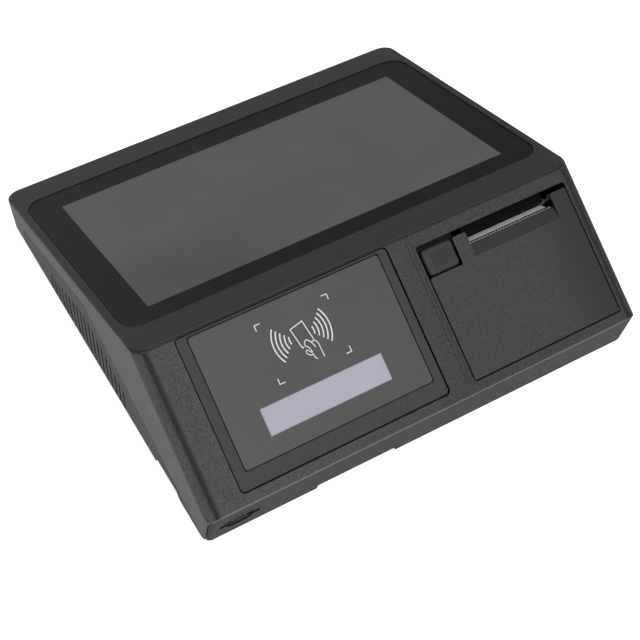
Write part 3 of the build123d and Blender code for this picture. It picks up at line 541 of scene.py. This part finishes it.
mark_centre = np.array([-57.0, 31.0])       # millimetres on the deck: to the right, and forward of the ridge
bracket_line, wave_line, card_line, hand_line = 0.62, 0.85, 0.62, 0.6
bracket_reach, bracket_leg = (24.6, 18.8), 3.6
bracket_drop, wave_drop = (0, 1.1), (0, -1.1)
wave_radii, wave_rises = 8.3 + 2.68 * np.arange(5), 2.4 + 2.03 * np.arange(5)
strokes = []
for x_side, row_side in ((-1, -1), (1, -1), (1, 1), (-1, 1)):
    corner = mark_centre + bracket_drop + np.array([x_side, row_side]) * bracket_reach
    legs = [corner + (0, -row_side * bracket_leg), corner, corner + (-x_side * bracket_leg, 0)]
    strokes.append(ribbon(legs, bracket_line))
for radius, rise in zip(wave_radii, wave_rises):
    for facing in (-1, 1):
        strokes.append(ribbon(arc(mark_centre + wave_drop, facing * radius, rise), wave_line))
card = [(-1.5, 5.7), (-2.8, 5.9), (-5.3, -7.0), (3.6, -8.8), (5.9, 4.2)]
strokes.append(ribbon(mark_centre + np.array(card), card_line))
thumb = [(-0.6, 5.4), (-0.4, 3.5), (1.2, 2.4), (2.3, 3.2), (3.6, 4.9), (5.1, 8.5)]
finger = [(3.6, 4.9), (5.1, 4.5), (6.4, 5.1), (7.5, 7.2), (7.6, 10.1), (7.8, 15.9)]
palm = [(-0.8, 5.3), (1.0, 7.3), (1.8, 9.7), (1.6, 10.7), (0.8, 9.8), (-0.5, 8.2), (-1.5, 8.8), (-1.5, 10.3),
        (0.4, 11.9), (1.8, 11.8), (2.3, 14.3), (3.5, 15.6)]
for line in (thumb, finger, palm):
    strokes.append(ribbon(mark_centre + smoothed(line), hand_line))


def on_deck(points, lift):
    """Own-frame places of deck points in millimetres, raised off the deck."""
    x, row = points[:, 0] / 1000, points[:, 1] / 1000
    y = ridge[1] + row * deck_forward[1] - lift * deck_down[1]
    z = ridge[2] + row * deck_forward[2] - lift * deck_down[2]
    return np.stack([x, y, z], 1)


firsts = np.cumsum([0] + [2 * len(stroke) for stroke in strokes])
mark_faces = np.vstack([grid_faces(len(stroke), 2, first) for stroke, first in zip(strokes, firsts)])[:, ::-1]
mark_points = on_deck(np.vstack([stroke.reshape(-1, 2) for stroke in strokes]), ink_lift)
mark = add_surface("tap_mark", mark_points.tolist(), mark_faces.tolist(), ink_finish)
thicken(mark, "film", ink_thickness, 1.0)
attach(mark, "housing")

# ---------------------------------------------------------------- printer cradle and print head
# The cradle is a plain black moulding that carries the paper bucket.  The print head is a carrier with a
# glazed ceramic strip facing the platen; both are painted near black, as painted shade of the deep slot above
# the paper.
cradle_black = moulded_black("cradle_black", base=0.022, roughness=0.6, pit=0.0012, depth=0.00006)
dress(cradle_black, "printer_cradle")
# Painted shade: the print head's carrier and ceramic strip are painted near black, for the deep slot they sit
# in.
head_finish, head_shader, head_place = new_finish("print_head_painted_shade", IOR=1.15)
strip = head_place.along(deck_forward, ridge).step(0.01555, 0.01565)
heater = head_place.along(deck_down, ridge).within(0.0114, 0.0126, 0.0002)
dust = head_place.noise(800.0, 3.0)
ceramic = heater.mix((0.010, 0.009, 0.008, 1.0), (0.004, 0.0035, 0.003, 1.0))
feed(
    head_shader, Base_Color=strip.mix(dust.mix(grey(0.003), grey(0.007)), ceramic),
    Roughness=dust * 0.15 + strip * -0.3 + 0.65, Normal=dust.bump(0.00001)
)
dress(head_finish, "thermal_head")


# ---------------------------------------------------------------- feed motor and gears
# A can motor in a drawn, plated case drives the platen through two gears moulded in white acetal, each on a
# ground steel shaft.
def from_axis(place, low, high):
    """Distance of this place from the middle line, along X, of a box."""
    origin = tuple((a + b) / 2 for a, b in zip(low, high))
    dy = place.along(to_back, origin)
    dz = place.along(to_top, origin)
    return (dy * dy + dz * dz).math("SQRT")


lathe_rings = 9000.0                # radians to a metre of radius


def turned(name, axis_node, core_radius, core, rim, rim_roughness, rings=0.0):
    """Round piece on an axis along X: a steel core inside a radius, another stuff outside it."""
    material, shader, place = new_finish(name, IOR=1.5)
    radius = from_axis(place, *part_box(axis_node))
    outside = radius.step(core_radius, core_radius + 0.0001)
    grain = place.noise(1400.0, 3.0, 0.6)
    lathe = (radius * lathe_rings).math("SINE")
    feed(
        shader, Base_Color=outside.mix(grain.mix(grey(core * 0.85), grey(core)), grain.mix(*rim)),
        Metallic=1 - outside, Roughness=grain * 0.12 + outside * (rim_roughness - 0.3) + 0.24,
        Normal=(grain + lathe * rings).bump(0.00001)
    )
    return material


acetal = (grey(0.66, 0.02), grey(0.8, 0.02))
drive_acetal = turned("drive_acetal", "drive_gear", 0.0015, 0.6, acetal, rim_roughness=0.42, rings=0.3)
platen_acetal = turned("platen_acetal", "platen_gear", 0.0016, 0.6, acetal, rim_roughness=0.42, rings=0.3)
dress(drive_acetal, "drive_gear")
dress(platen_acetal, "platen_gear")
can_finish, can_shader, can_place = new_finish("motor_can", Metallic=1.0)
can_lines = drawn_lines(can_place, (1600.0, 60.0, 60.0))
feed(can_shader, Base_Color=can_lines.mix(grey(0.3), grey(0.45)), Roughness=can_lines * 0.2 + 0.3)
dress(can_finish, "feed_motor")

# ---------------------------------------------------------------- platen, lid, tear bar and release button
# The lid is a finely textured black moulding with a smooth finger scoop.  It carries the ground rubber platen
# on a steel shaft and a stamped steel tear bar.  A steel pin hinges it, and the ribbed button frees it.
rubber = (grey(0.02), grey(0.045))
platen_rubber = turned("platen_rubber", "platen_roller", 0.0016, 0.55, rubber, rim_roughness=0.78)
dress(platen_rubber, "platen_roller")
scoop_x, scoop_rows = (0.0678, 0.1314), (0.0214, 0.0300)
lid_top_x, lid_top_end = (0.03365, 0.14305), 0.0987


def lid_black():
    """The lid's plastic: its scoop, the only face below the deck there, is smooth and warmer, and painted
    darker as painted shade.

    It is painted darker to the right as painted shade, and its outer edge, which turns down into the gap, is
    painted black as painted gap shade."""
    material, shader, place = new_finish("lid_black", IOR=1.5)
    x = place.along(to_right)
    row = place.along(deck_forward, ridge)
    scoop = x.within(*scoop_x) * row.within(*scoop_rows)
    top = x.within(*lid_top_x) * (1 - row.step(lid_top_end, lid_top_end + 0.0002))
    # Painted gap shade: every face of the lid but its top, and the gap walls, are painted black.
    edge = (painted_gap_shade_mask(place) * (1 - scoop)).math("MAXIMUM", 1 - top)
    grain = spark_texture(place, 0.0012)
    cloud = clouding(place)
    plain = mottle(grain, cloud, 0.8).mix(grey(0.016, 0.01), grey(0.054, 0.01))
    # Painted shade: the lid is painted darker towards its right.
    plain = x.step(0.095, 0.150).mix(plain, grain.mix(grey(0.004), grey(0.024)))
    # Partly painted shade: the recessed scoop is smooth and warmer, and painted darker.
    smooth = cloud.mix(grey(0.020, 0.06), grey(0.030, 0.06))
    feed(
        shader, Base_Color=edge.mix(scoop.mix(plain, smooth), painted_gap_shade),
        Roughness=cloud * 0.08 + grain * 0.1 + scoop * 0.04 + 0.47,
        Normal=(grain * (1 - scoop * 0.7)).bump(0.0003)
    )
    return material


dress(lid_black(), "printer_lid")
button_black = moulded_black("button_black", base=0.032, roughness=0.55, pit=0.0012, depth=0.00025)
dress(button_black, "release_button")
steel_finish, steel_shader, steel_place = new_finish("stamped_steel", Metallic=1.0)
steel_grain = drawn_lines(steel_place, (60.0, 2600.0, 2600.0), 3.0)
feed(
    steel_shader, Base_Color=steel_grain.mix(grey(0.12), grey(0.3)), Roughness=steel_grain * 0.2 + 0.4,
    Normal=steel_grain.bump(0.00001)
)
dress(steel_finish, "tear_bar", "hinge_pin")

# ---------------------------------------------------------------- receipt paper
# White thermal paper wound on a grey plastic core.  The roll's ends show the edges of its turns as fine
# rings, and the free end comes up behind the tear bar.
paper_finish, paper_shader, paper_place = new_finish("thermal_paper", IOR=1.45)
paper_turns = 14000.0               # radians to a metre of radius
turns = (from_axis(paper_place, *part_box("paper_roll")) * paper_turns).math("SINE") * 0.5 + 0.5
fibre = paper_place.noise(1100.0, 4.0, 0.65)
feed(
    paper_shader, Base_Color=(fibre * 0.5 + turns * 0.5).mix(grey(0.70, 0.01), grey(0.84, 0.01)),
    Roughness=fibre * 0.12 + 0.6, Normal=(fibre * 0.6 + turns * 0.4).bump(0.00002)
)
dress(paper_finish, "paper_roll", "paper_tongue")
core_grey = moulded_black("core_grey", base=0.12, roughness=0.5, pit=0.0008, depth=0.00004)
dress(core_grey, "paper_core")


# ---------------------------------------------------------------- ports
# Tin-plated steel shells with black insulators inside, soldered to boards: a small socket in the front face,
# and the network, USB and power sockets in the bay under the floor.
def socket_shell(name, low, high, rim):
    """Plated shell whose mouth, seen from the front, is lined with black plastic."""
    material, shader, place = new_finish(name, IOR=1.5)
    x = place.along(to_right)
    y = place.along(to_back)
    z = place.along(to_top)
    lined = x.within(low[0] + rim, high[0] - rim) * z.within(low[2] + rim, high[2] - rim)
    lined = lined * y.step(low[1] + 0.0002, low[1] + 0.0004)
    grain = place.noise(700.0, 3.0)
    feed(
        shader, Base_Color=lined.mix(grain.mix(grey(0.5), grey(0.66)), grain.mix(grey(0.012), grey(0.022))),
        Metallic=1 - lined, Roughness=grain * 0.16 + lined * 0.15 + 0.26, Normal=grain.bump(0.00001)
    )
    return material


for port in ("network_jack", "usb_ports"):
    dress(socket_shell(port + "_shell", *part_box(port), rim=0.0005), port)
# Painted shade in the front pocket: the socket's shell is painted darker than the other shells, and its board
# black.
front_socket, front_shader, front_place = new_finish("front_socket", IOR=1.5)
shell_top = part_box("port_board")[1][2]
painted_shade_board = 1 - front_place.along(to_top).step(shell_top - 0.0043, shell_top - 0.0040)
socket_grain = front_place.noise(900.0, 2.0)
shell_tone = socket_grain.mix(grey(0.1), grey(0.18))
painted_board_shade_tone = socket_grain.mix(grey(0.006), grey(0.014))
feed(
    front_shader, Base_Color=painted_shade_board.mix(shell_tone, painted_board_shade_tone), Metallic=1 - painted_shade_board,
    Roughness=socket_grain * 0.15 + 0.28
)
dress(front_socket, "port_board")
dress(circuit_board("io_board_green", green_mask, green_trace, to_back), "io_board")
inlet_black = moulded_black("inlet_black", base=0.028, roughness=0.42, pit=0.0008, depth=0.00003)
dress(inlet_black, "dc_inlet")

# ---------------------------------------------------------------- speaker, feet and screws
# A black boxed speaker on the floor, soft rubber feet with a moulded stipple, glued under it, and blackened
# cheese-head steel screws that hold the housing halves together.
speaker_black = moulded_black("speaker_black", base=0.03, roughness=0.62, pit=0.0016, depth=0.00012)
dress(speaker_black, "speaker")
foot_rubber = moulded_black("foot_rubber", base=0.02, roughness=0.85, pit=0.0013, depth=0.0001)
dress(foot_rubber, "rubber_feet")
screw_finish, screw_shader, screw_place = new_finish("blackened_steel", Metallic=0.9)
screw_tone = screw_place.noise(1300.0, 3.0, 0.6)
feed(
    screw_shader, Base_Color=screw_tone.mix(grey(0.1), grey(0.2)), Roughness=screw_tone * 0.2 + 0.3,
    Normal=screw_tone.bump(0.00002)
)
dress(screw_finish, "housing_screws")
